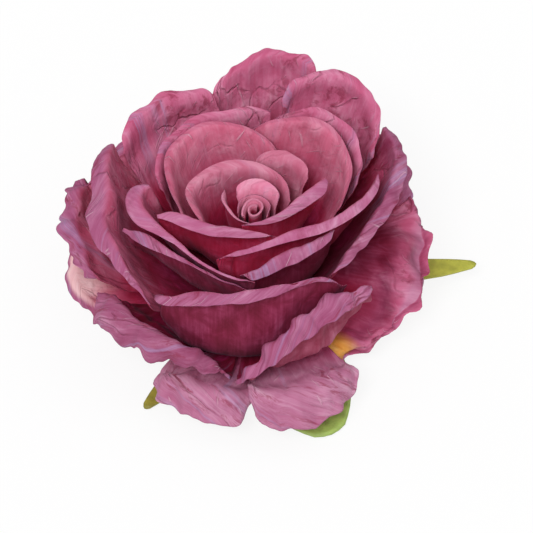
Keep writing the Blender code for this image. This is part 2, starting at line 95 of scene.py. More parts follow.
PETALS = [
    # The wrapped bud and the small spiral of petals round it.
    petal("petal_01_bud_wrap", 0, (80, 112), ((-35, 4.2, 35), (20, 4.2, 35.5), (80, 4.2, 35.5),
          (140, 4.2, 35.5), (190, 4.4, 35)), (1.0, 1.7, 1.0), 8, 86, (0, 1, 0)),
    petal("petal_02_spiral", 1, (64, 66), ((2, 7.6, 36.5), (30, 7.4, 37), (60, 6.8, 37),
          (100, 6.2, 37), (150, 6.4, 36.5)), (1.0, 2.2, 2.6), 6, 84, (0, 1, 0)),
    petal("petal_03_spiral", 1, (-172, 52), ((150, 9.2, 37.5), (168, 8.2, 37.5), (-172, 6.6, 37.5),
          (-140, 5.6, 36.5), (-85, 5.2, 35.5)), (0.8, 1.4, 0.8), 20, 84, (0, 1, 0)),
    petal("petal_04_spiral", 2, (124, 74), ((5, 9.6, 37), (35, 9.6, 38), (65, 9.9, 38),
          (95, 11.0, 38.5), (125, 12.6, 38.5), (155, 15.4, 38.5), (171, 16.2, 38),
          (-157, 14.0, 37)), (1.4, 3.4, 2.8), 18, 84, (0.15, 3, 0)),
    petal("petal_05_spiral", 2, (-42, 64), ((-114, 8.0, 38), (-70, 6.9, 39), (-36, 7.6, 39),
          (-8, 10.2, 39.5), (10, 14.6, 40), (19, 20.0, 40)), (0.8, 3.8, 6.0), 36, 86,
          (0.15, 2, 0), leave=50, belly=1.15),
    petal("petal_06_spiral", 3, (66, 40), ((27, 15.6, 39), (38, 15.4, 40), (52, 14.9, 40),
          (68, 14.1, 40), (80, 13.9, 39), (92, 13.6, 36)), (2.4, 3.8, 2.0), 18, 82,
          (0.15, 2, 0)),
    petal("petal_07_front", 3, (-125, 54), ((-166.5, 26.6, 41), (-166, 21.8, 41), (-155, 16.8, 40.3),
          (-136, 12.9, 40), (-108, 10.6, 40), (-80, 10.6, 39.5), (-65, 12.6, 39)),
          (4.8, 4.8, 1.6), 36, 84, (0.2, 2, 0), leave=46, belly=1.15),
    # The cup of middle petals.
    petal("petal_08_cup_back", 4, (129, 44), ((63, 17.6, 31), (70, 18.7, 35), (80, 19.8, 39),
          (100, 21.8, 43), (125, 25.0, 44), (150, 25.6, 43), (172, 21.8, 41),
          (-168, 19.4, 38.5)), (1.0, 2.0, 1.4), 30, 80, (0.2, 3, 0.5),
          leave=62),
    petal("petal_09_front", 5, (-49, 47), ((-118, 19.6, 38), (-105, 16.8, 39.5), (-88, 14.9, 40.5),
          (-62, 14.4, 41), (-40, 16.4, 41), (-19, 21.7, 41), (-4, 27.2, 40.5), (8, 31.8, 39.5),
          (16, 34.6, 38)), (1.8, 4.4, 3.0), 38, 82, (0.3, 3, 0.2), leave=42, belly=1.1),
    petal("petal_10_cup_back", 4, (45.5, 24), ((1, 22.8, 35), (10, 24.8, 39), (21, 26.6, 42),
          (40, 27.8, 43.5), (58, 27.0, 43.5), (76, 24.0, 42.5), (92, 22.9, 40)),
          (1.0, 2.6, 1.0), 22, 80, (0.2, 3, 0.1), leave=45),
    petal("petal_11_front", 6, (-55, 29), ((-96, 21.0, 35.3), (-82, 19.2, 36.8), (-68, 17.9, 37.3),
          (-48, 18.7, 37.8), (-33, 20.9, 37.9), (-22, 22.9, 37.9)), (3.6, 5.6, 3.0), 42, 84,
          (0.25, 2, 0.3), leave=30, belly=1.2),
    petal("petal_12_front", 5, (-150, 42), ((173, 27.4, 39.6), (179, 29.4, 40),
          (-172, 29.0, 39.8), (-160, 25.8, 39.2), (-145, 23.8, 38.5), (-128, 23.2, 38),
          (-110, 22.9, 37), (-96, 23.0, 35.5)), (9.0, 1.7, 1.2), 40, 80, (0.3, 2, 0.2),
          leave=36),
    petal("petal_13_cup_outer", 6, (122, 44), ((81, 28.8, 40.5), (96, 28.4, 41.5), (122, 28.6, 41.5),
          (140, 28.8, 41), (156, 27.6, 40), (168, 25.2, 37.5)), (1.2, 2.6, 1.6), 22, 78,
          (0.3, 3, 0.4)),
    petal("petal_14_cup_outer", 6, (48, 25), ((14, 28.0, 37), (24, 30.6, 41), (40, 32.8, 42),
          (56, 32.4, 42.5), (69, 28.8, 42), (79, 25.6, 40.5)), (1.2, 2.2, 1.2), 30, 78,
          (0.3, 3, 0.7)),
    petal("petal_15_front", 6, (-140, 34), ((-169.5, 35.4, 35.6), (-165, 32.0, 36.6),
          (-153, 27.9, 36.8), (-140, 25.6, 36.9), (-126, 24.0, 36.1), (-112, 23.7, 35.2),
          (-100, 23.8, 34.1)), (5.4, 2.2, 0.3), 42, 84, (0.3, 2, 0.6), leave=36,
          belly=1.2),
    petal("petal_16_front", 7, (-93, 37), ((-136.5, 33.0, 27), (-133.5, 35.8, 31), (-125, 34.2, 34.5),
          (-112, 30.2, 35.5), (-96, 27.8, 36), (-80, 26.8, 36.3), (-62, 27.2, 36.3),
          (-52, 28.8, 35), (-45, 31.2, 32.5), (-40, 32.4, 29.5)), (4.2, 5.0, 0.4), 46, 104,
          (0.3, 3, 0.2), leave=10, belly=2.2),
    # The wide outer petals with turned-over lips.
    petal("petal_17_outer_left", 8, (-175, 27), ((150, 44.0, 35), (158, 42.2, 38),
          (169, 39.4, 39.5), (-177, 38.4, 39.5), (-166, 39.4, 38.5), (-156, 38.4, 36),
          (-146, 38.0, 33), (-135, 38.8, 30)), (5.0, 7.6, 0.8), 38, 72, (0.6, 3, 0.1)),
    petal("petal_18_outer_right", 8, (-4, 30), ((-43, 28.2, 33), (-30, 28.6, 35), (-16, 30.2, 37),
          (-4, 33.0, 38), (6, 36.4, 39.5), (17, 39.2, 40), (27, 41.8, 39), (37, 43.8, 36.5)),
          (3.2, 4.8, 4.4), 42, 74, (0.5, 3, 0.6)),
    petal("petal_19_outer_back", 8, (127, 22), ((107, 34.0, 37), (112, 37.6, 40.5),
          (124, 40.0, 41.5), (136, 41.8, 40.3), (145, 41.6, 38), (151, 40.4, 34)),
          (1.6, 3.4, 2.0), 30, 76, (0.6, 3, 0.4)),
    petal("petal_20_outer_back", 8, (60, 18), ((31, 36.8, 33), (35, 40.2, 38), (43, 43.6, 41),
          (54, 45.6, 42), (64, 44.4, 42.5), (72, 40.0, 41.5), (77, 35.4, 37)),
          (1.6, 3.4, 2.0), 30, 76, (0.6, 3, 0.9)),
    petal("petal_21_outer_back", 9, (90, 28), ((67, 42.2, 37), (71, 46.0, 41.5), (79, 47.0, 43),
          (88, 45.6, 42.5), (98, 41.8, 41), (108, 38.4, 37)), (2.0, 3.2, 2.0), 30, 76,
          (0.6, 3, 0.3)),
    petal("petal_22_low_left", 9, (180, 23), ((158, 47.4, 25), (165, 48.0, 26.5), (173, 47.6, 26.5),
          (-179, 46.4, 25.5), (-171, 45.4, 24), (-163, 44.0, 21)), (4.5, 6.8, 5.0), 38, 62,
          (1.3, 3, 0.1)),
    petal("petal_23_low_right", 10, (-14, 32), ((-50, 33.0, -2.6), (-40, 35.0, -2.6), (-29, 37.4, -2),
          (-21, 40.5, 0), (-15, 43.5, 5.5), (-9, 45.6, 13), (-2, 46.0, 18.5), (5, 45.5, 22),
          (13, 43.0, 26.5)), (0.6, 2.0, 2.0), 10, 50, (1.0, 4, 0.2), leave=4),
    petal("petal_24_low_front", 9, (-126, 23), ((-157, 45.0, 22.5), (-150, 42.0, 23.5),
          (-140, 40.4, 22.5), (-128, 39.2, 21), (-117, 37.8, 18.5), (-107, 37.2, 15),
          (-99, 37.4, 9.5)), (16.0, 10.5, 2.5), 66, 76, (1.0, 4, 0.4), leave=14, belly=1.15),
    petal("petal_25_low_front", 9, (-66, 29), ((-97.5, 38.6, 9), (-89, 36.8, 17),
          (-78, 34.4, 23.5), (-66, 32.0, 27), (-52, 31.6, 28), (-40, 33.4, 28),
          (-31, 36.4, 26.5)), (5.0, 8.8, 7.5), 46, 104, (0.5, 4, 0.2), leave=8, belly=2.0),
    # The lowest petals, folded down over the base.
    petal("petal_26_skirt_front", 10, (-112, 19), ((-131, 39.4, 0), (-122, 38.8, 4),
          (-112, 37.8, 5.6), (-101, 37.6, 5.2), (-90.5, 37.6, 4.2)), (10.0, 14.0, 15.0), 62, 50,
          (1.2, 3, 0.3), leave=0),
    petal("petal_27_skirt_front", 10, (-71, 17), ((-92.5, 38.6, 7.6), (-80, 38.6, 7.8),
          (-70, 38.8, 7.7), (-59, 39.4, 6.7), (-48, 39.0, 2.5)), (15.0, 17.0, 9.5), 62, 50,
          (1.2, 3, 0.7), leave=4),
    petal("petal_28_skirt_left", 10, (-170, 23), ((-192, 45.0, 12), (-183, 48.0, 11),
          (-174, 48.5, 8.5), (-165, 44.0, 5), (-154, 38.5, 3)), (3.0, 4.0, 3.0), 40, 30,
          (0.8, 3, 0.2)),
    petal("petal_29_skirt_back", 10, (141, 22), ((117, 39.0, 9), (126, 43.0, 16), (138, 46.0, 19),
          (151, 46.0, 18), (164, 41.0, 12)), (4.0, 6.0, 4.0), 40, 45, (1.0, 3, 0.5)),
    petal("petal_30_skirt_back", 10, (89, 21), ((67, 42.0, 6), (76, 45.5, 13), (89, 47.0, 16),
          (102, 45.5, 13), (111, 42.0, 6)), (4.0, 6.0, 4.0), 40, 45, (1.0, 3, 0.1)),
    petal("petal_31_skirt_back", 10, (42, 18), ((18, 41.0, 13), (28, 45.0, 17), (40, 47.0, 19),
          (52, 45.0, 17), (61, 40.0, 10)), (4.0, 6.0, 4.0), 40, 45, (1.0, 3, 0.8)),
]

# Sepals of the star: azimuth, tip radius, droop of the tip, share of the full width and dye.
SEPALS = (
    (7.5, 63.0, 2.0, 0.42, "#CACB4C"),
    (79, 54.0, 6.5, 0.8, "#6F8E35"),
    (151, 54.0, 6.5, 0.8, "#6F8E35"),
    (229.5, 46.5, 8.9, 0.5, "#B0A640"),
    (296, 48.5, 9.1, 1.9, "#BAD76C"),
)
# Half outline of a sepal: turn from its midline in degrees and share of its length.
# The tip is snipped round, not to a needle.
SEPAL_OUTLINE = ((0, 1.0), (2.6, 0.985), (7, 0.82), (14, 0.5), (21, 0.12))

# Fine sheets: faces across and along a petal, and the thickness of crepe as it is drawn.
ACROSS = 84
ALONG = 66
SHEET = 0.28

# Spacing of what the fingers leave in a petal: pleats, soft bumps, nicks of the edge and its frill.
PLEAT_PITCH = 4.5
SWELL_PITCH = 13
NICK_PITCH = 5.5
FRILL_PITCH = 6.5

# The heart's coil: turns of the strip, its thickness, radius of its eye and how far it is pinched oval.
HEART_TURNS = 1.6
HEART_STRIP = 0.55
HEART_EYE = 0.55
HEART_PINCH = 0.16

# The patterns of the materials are laid on maps of the flat paper, with 100 mm to a unit.
MAP_UNIT = 0.01
BACK_SHIFT = 0.37  # the back of a sheet takes its pattern from another place

# Petals with this many layers inside them, or more, are of the darker, blotchier outer paper.
OUTER_RING = 6

# The photograph: its side in pixels, a pixel's size at the flower in metres, how far down it looks in
# degrees, the pixel where the flower's axis meets the floor, and the flower's middle height in metres.
PICTURE = 533
PIXEL = 0.00027
LOOK_DOWN = 55
AXIS_AT = (254, 307)
MIDDLE_HEIGHT = 0.035
CAMERA_AWAY = 0.8

# How much of the floor is seen as plain white, so that only a soft shadow shows on it.
WHITE_SHARE = 0.86
# The world's light on the object, and the lamps: name, strength, softness and tilt from straight down.
SKY = 0.45
LAMPS = (
    ("key", 1.6, 24, (28, -14, 0)),
    ("fill", 0.5, 60, (10, 20, 0)),
)

# What the dye, the hands and the light leave on the crepe: spots of dye, painted crease shade, a painted
# lilac sheen, pale worn lines with a painted highlight and the sheen's tint; and the green of the wrapped
# base.
SPOT_DYE = "#8A1F3C"
PAINTED_CREASE_SHADE = "#7A1430"
PAINTED_SHEEN_LILAC = "#A99AC8"
WORN_PALE_HIGHLIGHT = "#E3B4C8"
SHEEN = "#E6B4DC"
BASE_DYE = "#6E8B3A"

# Crepe's colours, from the turned lips down to the foot of a petal; the darker ones paint the shade at
# the foot, in crevices and on faces turned from the light.
LIP = "#AC5E84"
INNER_LIP = "#BE6E94"
PALE_LIP = "#A2577A"
LILAC_PINK = "#C07C9C"
PETAL_PINK = "#CC7490"
SOFT_PINK = "#E690AE"
ROSE = "#C65F80"
BLUSH = "#D97795"
CUP_EDGE = "#C66A88"
CRIMSON = "#AA2048"
MAROON = "#7E0630"
DUSK = "#7C1C3C"
DUSTY = "#A24468"
WORN_RED = "#9A4059"
WINE = "#8E2446"
VIVID = "#C02C54"
DEEP = "#4E0A22"
MAUVE = "#CC6C90"
CREAM = "#F2C2C6"
AMBER = "#E3A24E"


def linear(code):
    """Linear red, green and blue of an sRGB hex colour."""
    part = np.array([int(code[k:k + 2], 16) / 255 for k in (1, 3, 5)])
    return np.where(part <= 0.04045, part / 12.92, ((part + 0.055) / 1.055) ** 2.4)


def rgba(code):
    return (*linear(code).tolist(), 1.0)


def soften(sheet, reach):
    """Rounds the bends of a sheet from foot to edge, over about `reach` mm, with both ends in place."""
    fine = 260
    down = np.linalg.norm(np.diff(sheet, axis=0), axis=2)
    length = np.vstack([np.zeros(sheet.shape[1]), np.cumsum(down, axis=0)])
    even = np.linspace(0, 1, fine)
    spread = max(reach / (length[-1].mean() / fine), 0.1)
    taps = int(3 * spread) + 1
    weights = np.exp(-0.5 * (np.arange(-taps, taps + 1) / spread) ** 2)
    weights /= weights.sum()
    soft = np.empty_like(sheet)
    for k in range(sheet.shape[1]):
        for axis in range(3):
            line = np.interp(even * length[-1, k], length[:, k], sheet[:, k, axis])
            before = 2 * line[0] - line[taps:0:-1]
            after = 2 * line[-1] - line[-2:-taps - 2:-1]
            line = np.concatenate([before, line, after])
            line = np.convolve(line, weights, "valid")
            soft[:, k, axis] = np.interp(length[:, k], even * length[-1, k], line)
    return soft


def ease(low, high, value):
    """Rises smoothly from 0 at low to 1 at high."""
    t = np.clip((value - low) / (high - low), 0, 1)
    return t * t * (3 - 2 * t)


def rim_line(points, u):
    """Smooth curve through the rim points, at u from -1 to 1 by length along it."""
    ends = np.vstack([2 * points[0] - points[1], points, 2 * points[-1] - points[-2]])
    t = np.linspace(0, 1, 25)[:-1, None]
    run = []
    for a, b, c, d in zip(ends, ends[1:], ends[2:], ends[3:]):
        run.append(0.5 * (2 * b + (c - a) * t + (2 * a - 5 * b + 4 * c - d) * t ** 2
                          + (3 * b - a - 3 * c + d) * t ** 3))
    run = np.vstack(run + [points[-1:]])
    steps = np.linalg.norm(np.diff(run[:, :2], axis=0), axis=1)
    length = np.concatenate([[0], np.cumsum(steps)])
    at = (np.clip(u, -1, 1) + 1) / 2 * length[-1]
    return np.stack([np.interp(at, length, run[:, k]) for k in range(3)], axis=1)


def petal_sheet(p, u, s):
    """Middle surface of a petal as an array [s, u, xyz], with the middle of its foot at +X.

    s runs from 0 at the foot through 1 at the rim to 2 at the edge of the turned lip.
    """
    turns = np.unwrap(np.radians([point[0] - p["foot"][0] for point in p["rim"]]))
    if turns.mean() > math.pi:
        turns -= 2 * math.pi
    if turns.mean() < -math.pi:
        turns += 2 * math.pi
    points = np.array([(radius * math.cos(turn), radius * math.sin(turn), height)
                       for (_, radius, height), turn in zip(p["rim"], turns)])
    rim = rim_line(points, u)

    radius = CORE_NECK + CLEARANCE + PAPER / 2 + (PAPER + CLEARANCE) * p["ring"]
    neck_top = NECK_TOP - NECK_STEP * p["ring"]
    wrap = np.radians(u * p["foot"][1])
    foot = np.stack([np.cos(wrap), np.sin(wrap)], axis=1) * radius
    out = rim[:, :2] - foot
    run = np.linalg.norm(out, axis=1)
    out = out / run[:, None]

    # The lip turns over square to the rim.
    along = rim_line(points, u + 0.02) - rim_line(points, u - 0.02)
    away = np.stack([along[:, 1], -along[:, 0]], axis=1)
    away = away / np.linalg.norm(away, axis=1)[:, None]
    lip = np.interp(u, (-1, 0, 1), p["lip"]) * (1 - 0.55 * np.abs(u) ** 5)
    depth, waves, phase = p["ruffle"]
    wave = depth * np.sin(np.pi * waves * u + 2 * np.pi * phase)

    leave = math.radians(p["leave"])
    # A petal that bulges out under its rim does so in the middle, and its sides stand up.
    lean = np.radians(p["lean"] - max(p["lean"] - STEEPEST_SIDE, 0) * u ** 4)
    fold = math.radians(p["fold"])
    rise = rim[:, 2] - neck_top
    size = np.hypot(run, rise) * (1 + (p["belly"] - 1) * (1 - u ** 2))
    low = 0.42 * size
    high = np.minimum(0.38 * size, 0.85 * rise / np.sin(lean))
    rows = []
    for step in s:
        if step <= FOOT_SHARE:
            xy = foot
            z = np.full(len(u), neck_top * step / FOOT_SHARE)
        else:
            t = min((step - FOOT_SHARE) / (1 - FOOT_SHARE), 1.0)
            a, b, c = 3 * (1 - t) ** 2 * t, 3 * (1 - t) * t ** 2, t ** 3
            x = a * low * math.cos(leave) + b * (run - high * np.cos(lean)) + c * run
            z = a * low * math.sin(leave) + b * (rise - high * np.sin(lean)) + c * rise
            xy = foot + out * x[:, None]
            z = neck_top + z
        if step > 1:
            # A soft roll over the first part of the lip, then a straight flap.
            way = (step - 1) * lip
            roll = ROLL_SHARE * lip
            angle = lean - (lean + fold) * np.minimum(way / roll, 1)
            first = np.minimum(way, roll)
            flap = np.maximum(way - roll, 0)
            over = first * (np.sin(lean) - np.sin(angle)) / (lean - angle)
            rise_over = first * (np.cos(angle) - np.cos(lean)) / (lean - angle)
            over = over + flap * math.cos(fold)
            xy = xy + away * over[:, None]
            z = z + rise_over - flap * math.sin(fold)
        sway = max((step - 0.6) / 1.4, 0) ** 1.2
        xy = xy + away * (0.5 * wave * sway)[:, None]
        z = z + wave * sway * (0.8 if step > 1 else 0.3)
        rows.append(np.column_stack([xy, z]))
    return np.array(rows)


def pleats(across, along, seed, pitch, slant=0.18):
    """Relief of lengthwise creases, about -1 to 1, with `pitch` mm from one to the next."""
    draw = np.random.default_rng(seed)
    relief = np.zeros_like(across)
    for _ in range(7):
        size = pitch * draw.uniform(0.6, 1.9)
        turn = draw.normal(0, slant)
        bend = 0.9 * np.sin(along / (size * draw.uniform(0.9, 2.2)) + draw.uniform(0, 6.3))
        way = across * math.cos(turn) + along * math.sin(turn)
        wave = np.abs(np.sin(math.pi * way / size + draw.uniform(0, 6.3) + bend))
        relief += (1 - 2 * wave) * size / pitch
    return relief / 5


def swell(across, along, seed, pitch):
    """Soft, round unevenness, about -1 to 1, with `pitch` mm from bump to bump."""
    draw = np.random.default_rng(seed)
    relief = np.zeros_like(across)
    for _ in range(8):
        turn = draw.uniform(0, math.pi)
        size = pitch * draw.uniform(0.7, 1.6)
        way = across * math.cos(turn) + along * math.sin(turn)
        relief += np.sin(2 * math.pi * way / size + draw.uniform(0, 6.3))
    return relief / 3.2


def ragged(along_rim, seed, pitch):
    """Uneven edge of hand-cut, stretched crepe, about -1 to 1."""
    draw = np.random.default_rng(seed)
    edge = np.zeros_like(along_rim)
    for _ in range(6):
        size = pitch * draw.uniform(0.5, 2.0)
        edge += np.sin(2 * math.pi * along_rim / size + draw.uniform(0, 6.3)) * size / pitch
    return edge / 4


def blend(stops, s):
    """Colour at s from (place, hex colour) stops."""
    places = [place for place, _ in stops]
    colours = np.array([linear(code) for _, code in stops])
    return np.stack([np.interp(s, places, colours[:, k]) for k in range(3)], axis=-1)


# The colour of an inner face from its foot up to the rim, as most petals have it, dark low down as
# painted shade in the crevice round the foot.
INNER_FACE = ((0, MAROON), (0.4, MAROON), (0.62, CRIMSON), (0.84, ROSE), (1.05, ROSE))


def finish_of(p):
    """How a petal's paper is worked and dyed, and where shade and highlights are painted on it. Lengths
    are in mm.

    crease: height of its pleats; frill: height of the frill at its edge; rag: depth of the edge's nicks
    twist: slant of the grain on the lip; round: softness of its bends
    taper: how much shorter the petal is at its clockwise side and at its other side
    end: for a lip that crosses its neighbour, the side, how far it sinks and the degrees it slides
    inside, outside: (place from foot to edge, colour) of its two faces, with painted shade at the foot
    and on the outer face
    patches: (colour, place across, place along, width, height) of blots, painted shade and painted
    highlights on both faces
    gather: share of its radius that the rim is drawn in to; settle: how far the rim sinks
    lip: length of the lip at its two sides and middle, or None for the cut petal's own
    """
    ring = p["ring"]
    look = dict(
        crease=0.08 + 0.016 * ring,
        frill=0.03 * max(ring - 7, 0),
        rag=0.02 * max(ring - 6, 0),
        twist=1.6 if ring % 2 else -1.6,
        round=0.6,
        taper=(0.12, 0.12),
        end=None,
        inside=INNER_FACE + ((1.4, LIP), (2, LIP)),
        # The outside is darker than the inside, most of all low down: painted shade of the side turned
        # from the light.
        outside=((0, MAROON), (0.4, MAROON), (0.7, CRIMSON), (1.2, CRIMSON), (2, LIP)),
        patches=(),
        gather=1.0,
        settle=0.0,
        lip=None,
    )
    look.update(FINISHES.get(p["name"], {}))
    return look


# Finishes that several petals share, and then the finish of each petal that isn't the usual one.
# Their colour ramps carry painted shade: dark at the hidden foot, lighter up the lit upper face, and
# darker on outside faces under the lips.
HEART = dict(round=1.5, taper=(0.3, 0.3),
             inside=((0, MAROON), (0.5, CRIMSON), (0.66, PETAL_PINK), (0.82, SOFT_PINK), (2, SOFT_PINK)))
CUP = dict(round=1.8, inside=((0, MAROON), (0.4, MAROON), (0.56, CRIMSON), (0.7, ROSE), (0.9, BLUSH),
                              (1.4, CUP_EDGE), (2, CUP_EDGE)))
BACK = dict(round=1.8, inside=((0, MAROON), (0.4, MAROON), (0.58, CRIMSON), (0.76, MAUVE), (2, MAUVE)))
FRONT = dict(outside=((0, MAROON), (0.5, MAROON), (0.78, WINE), (1.2, WINE), (1.6, CRIMSON), (2, LIP)))
SKIRT = dict(inside=((0, MAROON), (0.4, CRIMSON), (0.62, DUSTY), (0.86, LILAC_PINK), (2, LILAC_PINK)),
             frill=0.09, rag=0.1, crease=0.3)
# Its outside turns a bright crimson above the foot: painted light shining through the paper.
INNER_FRONT = dict(inside=INNER_FACE + ((1.4, INNER_LIP), (2, INNER_LIP)),
                   outside=((0, MAROON), (0.4, MAROON), (0.68, VIVID), (1.2, VIVID), (2, LIP)))
FINISHES = {
    "petal_01_bud_wrap": HEART | dict(lip=(0.4, 0.5, 0.4), settle=0.6),
    "petal_02_spiral": HEART | dict(round=2.6, gather=0.78, lip=(1.0, 3.6, 3.6)),
    "petal_03_spiral": HEART,
    "petal_04_spiral": dict(round=2.0,
                            inside=((0, MAROON), (0.6, CRIMSON), (0.8, ROSE), (1.0, PETAL_PINK),
                                    (2, PETAL_PINK))),
    "petal_05_spiral": INNER_FRONT,
    "petal_06_spiral": dict(round=2.4, taper=(0.34, 0.38),
                            inside=((0, MAROON), (0.5, CRIMSON), (0.72, PETAL_PINK), (2, PETAL_PINK))),
    "petal_07_front": INNER_FRONT | dict(taper=(0.12, 0.5), end=(1, 1.2, 5)),
    "petal_08_cup_back": CUP,
    "petal_09_front": INNER_FRONT | dict(taper=(0.5, 0.2), end=(-1, 2.2, 3)),
    "petal_10_cup_back": CUP,
    "petal_11_front": FRONT | dict(taper=(0.5, 0.2), end=(-1, 2.6, 4)),
    "petal_12_front": FRONT | dict(inside=INNER_FRONT["inside"], taper=(0.12, 0.5), end=(1, 2.0, 7)),
    "petal_13_cup_outer": BACK,
    "petal_14_cup_outer": BACK,
    "petal_15_front": FRONT | dict(taper=(0.12, 0.5), end=(1, 2.4, 9)),
    # Its outside, seen between the lips round it, is painted very dark: painted shade.
    "petal_16_front": dict(taper=(0.3, 0.42),
                           outside=((0, DEEP), (0.55, DEEP), (0.8, DUSK), (1.2, DUSK), (1.6, CRIMSON),
                                    (2, LIP))),
    "petal_18_outer_right": dict(inside=((0, MAROON), (0.5, MAROON), (0.75, CRIMSON), (0.95, DUSTY),
                                         (1.3, PALE_LIP), (2, PALE_LIP))),
    "petal_19_outer_back": BACK,
    "petal_20_outer_back": BACK,
    "petal_21_outer_back": BACK,
    "petal_22_low_left": dict(crease=0.6, rag=0.24),
    # Its wine patch is painted shade of a hollow, and its lilac-pink patch a painted highlight along a
    # ridge.
    "petal_23_low_right": dict(crease=0.95, rag=0.12,
                               patches=((AMBER, -1.0, 0.9, 0.38, 0.74), (WINE, 0.8, 0.55, 0.45, 0.28),
                                        (LILAC_PINK, 0.3, 1.02, 0.5, 0.16)),
                               outside=((0, MAROON), (0.5, CRIMSON), (0.8, DUSTY), (2, DUSTY)),
                               inside=((0, MAROON), (0.45, CRIMSON), (0.7, DUSTY), (0.9, MAUVE),
                                       (1.3, DUSTY), (2, MAUVE))),
    # The insides of 24 and 25 stay dark up to the rim: painted shade in the gaps under their lips.
    "petal_24_low_front": dict(crease=0.5, rag=0.22,
                               outside=((0, MAROON), (0.5, CRIMSON), (0.8, DUSTY), (2, DUSTY)),
                               inside=((0, MAROON), (0.9, MAROON), (1.0, DUSTY), (1.3, PALE_LIP),
                                       (2, PALE_LIP))),
    "petal_25_low_front": dict(crease=0.55,
                               inside=((0, MAROON), (0.9, MAROON), (1.0, DUSTY), (1.3, LIP), (2, LIP)),
                               outside=((0, MAROON), (0.4, CRIMSON), (0.7, WORN_RED), (1.3, WORN_RED),
                                        (2, LIP))),
    "petal_26_skirt_front": SKIRT,
    "petal_27_skirt_front": SKIRT,
    "petal_28_skirt_left": dict(patches=((CREAM, -0.35, 1.25, 0.8, 0.6),)),
}


def petal_number(p):
    return int(p["name"].split("_")[1])


def petal_skin(p):
    """A petal's worked sheet: points, normals, paper lengths across and along, place from its foot."""
    look = finish_of(p)
    rim = tuple((turn, radius * look["gather"], height - look["settle"])
                for turn, radius, height in p["rim"])
    p = p | dict(rim=rim, lip=look["lip"] or p["lip"])
    seed = petal_number(p) * 100
    u = np.linspace(-1, 1, ACROSS + 1)
    s = np.concatenate([[0, FOOT_SHARE / 2], np.linspace(FOOT_SHARE, 1, ALONG * 2 // 3),
                        1 + np.linspace(0, 1, ALONG // 3 + 1)[1:]])
    sheet = soften(petal_sheet(p, u, s), look["round"])
    if look["end"]:
        # One end of the lip sinks and slides over its neighbour, where the front petals cross.
        side, sink, slide = look["end"]
        amount = ease(0.2, 1.0, side * u) * ease(0.45, 1.0, s)[:, None]
        turn = np.radians(slide) * side * amount
        x, y = sheet[..., 0].copy(), sheet[..., 1].copy()
        sheet[..., 0] = x * np.cos(turn) - y * np.sin(turn)
        sheet[..., 1] = x * np.sin(turn) + y * np.cos(turn)
        sheet[..., 2] -= sink * amount

    # Rounded corners: each column of points ends a little earlier towards the sides.
    step = s[:, None] * np.ones_like(u)
    short = 1 - np.where(u < 0, *look["taper"]) * ease(0.76, 1.0, np.abs(u)) ** 1.5
    worked = np.empty_like(sheet)
    for k in range(len(u)):
        for axis in range(3):
            worked[:, k, axis] = np.interp(s * short[k], s, sheet[:, k, axis])
    sheet = worked
    step = step * short

    down = np.linalg.norm(np.diff(sheet, axis=0), axis=2)
    along = np.vstack([np.zeros(len(u)), np.cumsum(down, axis=0)])
    over = np.linalg.norm(np.diff(sheet, axis=1), axis=2)
    across = np.hstack([np.zeros((len(s), 1)), np.cumsum(over, axis=1)])
    across -= across[:, [len(u) // 2]]

    # The edge is uneven: the last rows move along the sheet.
    tail = ease(1.45, 2.0, step) if max(p["lip"]) > 3 else ease(1.0, 2.0, step)
    reach = look["rag"] * 6 * ragged(across, seed + 1, NICK_PITCH)
    # A nick is never deeper than part of the lip, or the paper would fold over itself.
    lip_length = along[-1] - along[np.argmin(np.abs(s - 1))]
    reach = np.maximum(reach, -0.4 * lip_length) * tail
    ahead = np.gradient(sheet, axis=0)
    ahead /= np.maximum(np.linalg.norm(ahead, axis=2, keepdims=True), 1e-9)
    sheet = sheet + ahead * reach[..., None]

    normal = normals_of(sheet)
    free = ease(0.3, 0.75, step)
    relief = look["crease"] * pleats(across, along, seed + 2, PLEAT_PITCH) * free
    relief += look["crease"] * 2.2 * swell(across, along, seed + 3, SWELL_PITCH) * ease(0.5, 0.9, step)
    frill = look["frill"] * ease(0.95, 2.0, step)
    relief += 5 * frill * ragged(across + 0.25 * along, seed + 4, FRILL_PITCH)
    sheet = sheet + normal * relief[..., None]
    return sheet, normals_of(sheet), across, along, step, look


def normals_of(sheet):
    """Unit normals of a grid of points, on the side that faces the heart of the flower."""
    normal = np.cross(np.gradient(sheet, axis=0), np.gradient(sheet, axis=1))
    normal /= np.maximum(np.linalg.norm(normal, axis=2, keepdims=True), 1e-9)
    # The foot of a petal is on +X, so the inner face looks to -X and up where the petal climbs.
    climb = normal[len(normal) // 4:len(normal) // 2].mean(axis=(0, 1))
    return normal if climb[2] > climb[0] else -normal


